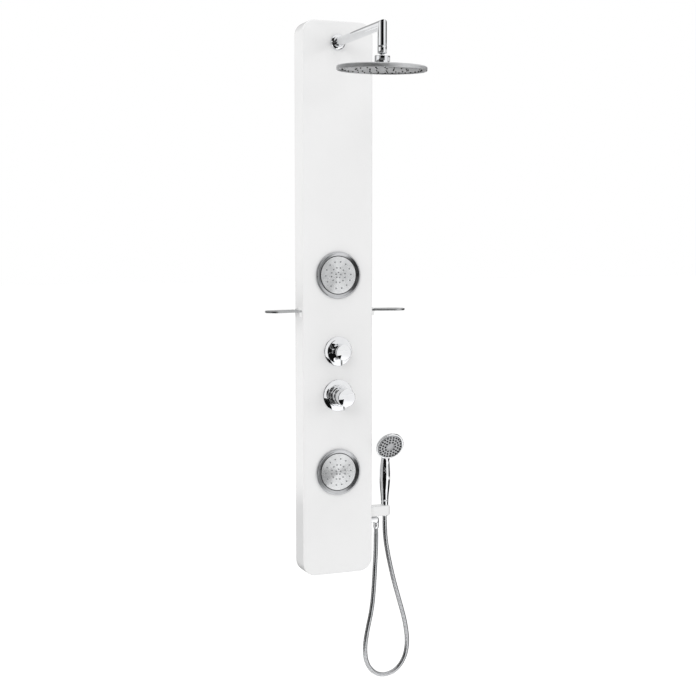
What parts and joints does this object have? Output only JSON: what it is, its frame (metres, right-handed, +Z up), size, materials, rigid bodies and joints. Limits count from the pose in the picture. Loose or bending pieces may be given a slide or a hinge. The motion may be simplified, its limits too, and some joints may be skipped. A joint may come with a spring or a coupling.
{
  "type": "shower panel column",
  "caption": "White wall-hung shower panel column: round rain head on an arm, swivelling body jets, diverter and mixer knobs, side shelves and a hand shower on a hanging metal hose.",
  "frame": {"origin": "middle of the upper wall bracket's two screw holes, on the wall's surface", "axes": "+Y into the wall, +Z up, +X to the right of someone who faces the column"},
  "size_m": [0.3827, 0.4181, 1.6247],
  "materials": {
    "white_casing": "gloss moulded acrylic-faced ABS",
    "polished_chrome": "polished chrome plate",
    "brushed_plate": "satin brushed",
    "nozzle_rubber": "matt moulded silicone",
    "zinc_steel": "zinc plated",
    "brass": "as cast and turned",
    "housing_plastic": "moulded acetal",
    "inner_hose_rubber": "grey rubber",
    "plated_plastic": "chrome-plated plastic",
    "dial_plastic": "satin silver-grey plastic",
    "hose_steel": "interlocked stainless strip"
  },
  "bodies": {
    "column": {"arm_elbow": "brass", "arm_flange": "polished_chrome", "arm_locknut": "zinc_steel", "arm_tip": "polished_chrome", "casing": "white_casing", "diverter_bonnet": "brass", "diverter_escutcheon": "polished_chrome", "diverter_valve_body": "brass", "hand_shower_feed_hose": "inner_hose_rubber", "hand_shower_holder": "white_casing", "hanger_rail": "zinc_steel", "hose_ferrules": "zinc_steel", "hose_outlet_elbow": "polished_chrome", "hose_outlet_nut": "brass", "left_shelf": "brushed_plate", "link_pipe": "brass", "lock_screw": "zinc_steel", "lower_hose_nut": "polished_chrome", "lower_jet_bezel": "polished_chrome", "lower_jet_cup": "housing_plastic", "lower_jet_hose": "inner_hose_rubber", "lower_jet_stem": "brass", "lower_wall_bracket": "zinc_steel", "mixer_bonnet": "brass", "mixer_escutcheon": "polished_chrome", "mixer_sleeve": "polished_chrome", "mixer_valve_body": "brass", "right_shelf": "brushed_plate", "riser_hose": "inner_hose_rubber", "shelf_sockets": "white_casing", "shower_arm": "polished_chrome", "shower_hose": "hose_steel", "side_screws": "zinc_steel", "supply_inlets": "brass", "upper_jet_bezel": "polished_chrome", "upper_jet_cup": "housing_plastic", "upper_jet_hose": "inner_hose_rubber", "upper_jet_stem": "brass", "upper_wall_bracket": "zinc_steel"},
    "head_swivel": {"ball_friction_ring": "housing_plastic"},
    "upper_jet_swivel": {"upper_jet_friction_ring": "housing_plastic"},
    "lower_jet_swivel": {"lower_jet_friction_ring": "housing_plastic"},
    "rain_head": {"head_nut": "polished_chrome", "rain_head_shell": "brushed_plate", "rain_head_plate": "brushed_plate", "rain_head_nozzles": "nozzle_rubber"},
    "upper_jet": {"upper_jet_bowl": "housing_plastic", "upper_jet_face": "brushed_plate", "upper_jet_nozzles": "nozzle_rubber"},
    "lower_jet": {"lower_jet_bowl": "housing_plastic", "lower_jet_face": "brushed_plate", "lower_jet_nozzles": "nozzle_rubber"},
    "diverter_knob": {"diverter_knob": "polished_chrome", "diverter_spindle": "brass"},
    "mixer_knob": {"mixer_knob": "polished_chrome", "mixer_spindle": "brass"},
    "hose_nut": {"upper_hose_nut": "polished_chrome"},
    "hand_shower": {"hand_shower": "plated_plastic"},
    "spray_dial": {"spray_dial": "dial_plastic", "spray_nozzles": "nozzle_rubber"}
  },
  "joints": [
    {"name": "rain_head_swivel", "type": "hinge", "parent": "column", "child": "head_swivel", "pos_m": [0, -0.319, 0.084], "axis": [0, 0, 1], "continuous": true},
    {"name": "rain_head_tilt", "type": "hinge", "parent": "head_swivel", "child": "rain_head", "pos_m": [0, -0.319, 0.084], "axis": [1, 0, 0], "range_deg": [-17.8, 12.2]},
    {"name": "upper_jet_swivel_turn", "type": "hinge", "parent": "column", "child": "upper_jet_swivel", "pos_m": [0, -0.047, -0.394], "axis": [0, -1, 0], "continuous": true},
    {"name": "upper_jet_tilt", "type": "hinge", "parent": "upper_jet_swivel", "child": "upper_jet", "pos_m": [0, -0.047, -0.394], "axis": [1, 0, 0], "range_deg": [-8, 8]},
    {"name": "lower_jet_swivel_turn", "type": "hinge", "parent": "column", "child": "lower_jet_swivel", "pos_m": [0, -0.047, -0.876], "axis": [0, -1, 0], "continuous": true},
    {"name": "lower_jet_tilt", "type": "hinge", "parent": "lower_jet_swivel", "child": "lower_jet", "pos_m": [0, -0.047, -0.876], "axis": [1, 0, 0], "range_deg": [-8, 8]},
    {"name": "diverter_turn", "type": "hinge", "parent": "column", "child": "diverter_knob", "pos_m": [0, -0.055, -0.579], "axis": [0, -1, 0], "range_deg": [-90, 90]},
    {"name": "mixer_turn", "type": "hinge", "parent": "column", "child": "mixer_knob", "pos_m": [0, -0.055, -0.687], "axis": [0, -1, 0], "range_deg": [0, 170]},
    {"name": "hand_shower_lift", "type": "slide", "parent": "column", "child": "hose_nut", "axis": [0, 0, 1], "range_m": [0, 0.032], "deforming": ["shower_hose"]},
    {"name": "hand_shower_turn", "type": "hinge", "parent": "hose_nut", "child": "hand_shower", "pos_m": [0.135, -0.032, -0.962], "axis": [0, 0, 1], "range_deg": [-10, 70]},
    {"name": "spray_dial_turn", "type": "hinge", "parent": "hand_shower", "child": "spray_dial", "pos_m": [0.135, -0.066, -0.821], "axis": [0, -0.9063, -0.4226], "continuous": true}
  ]
}
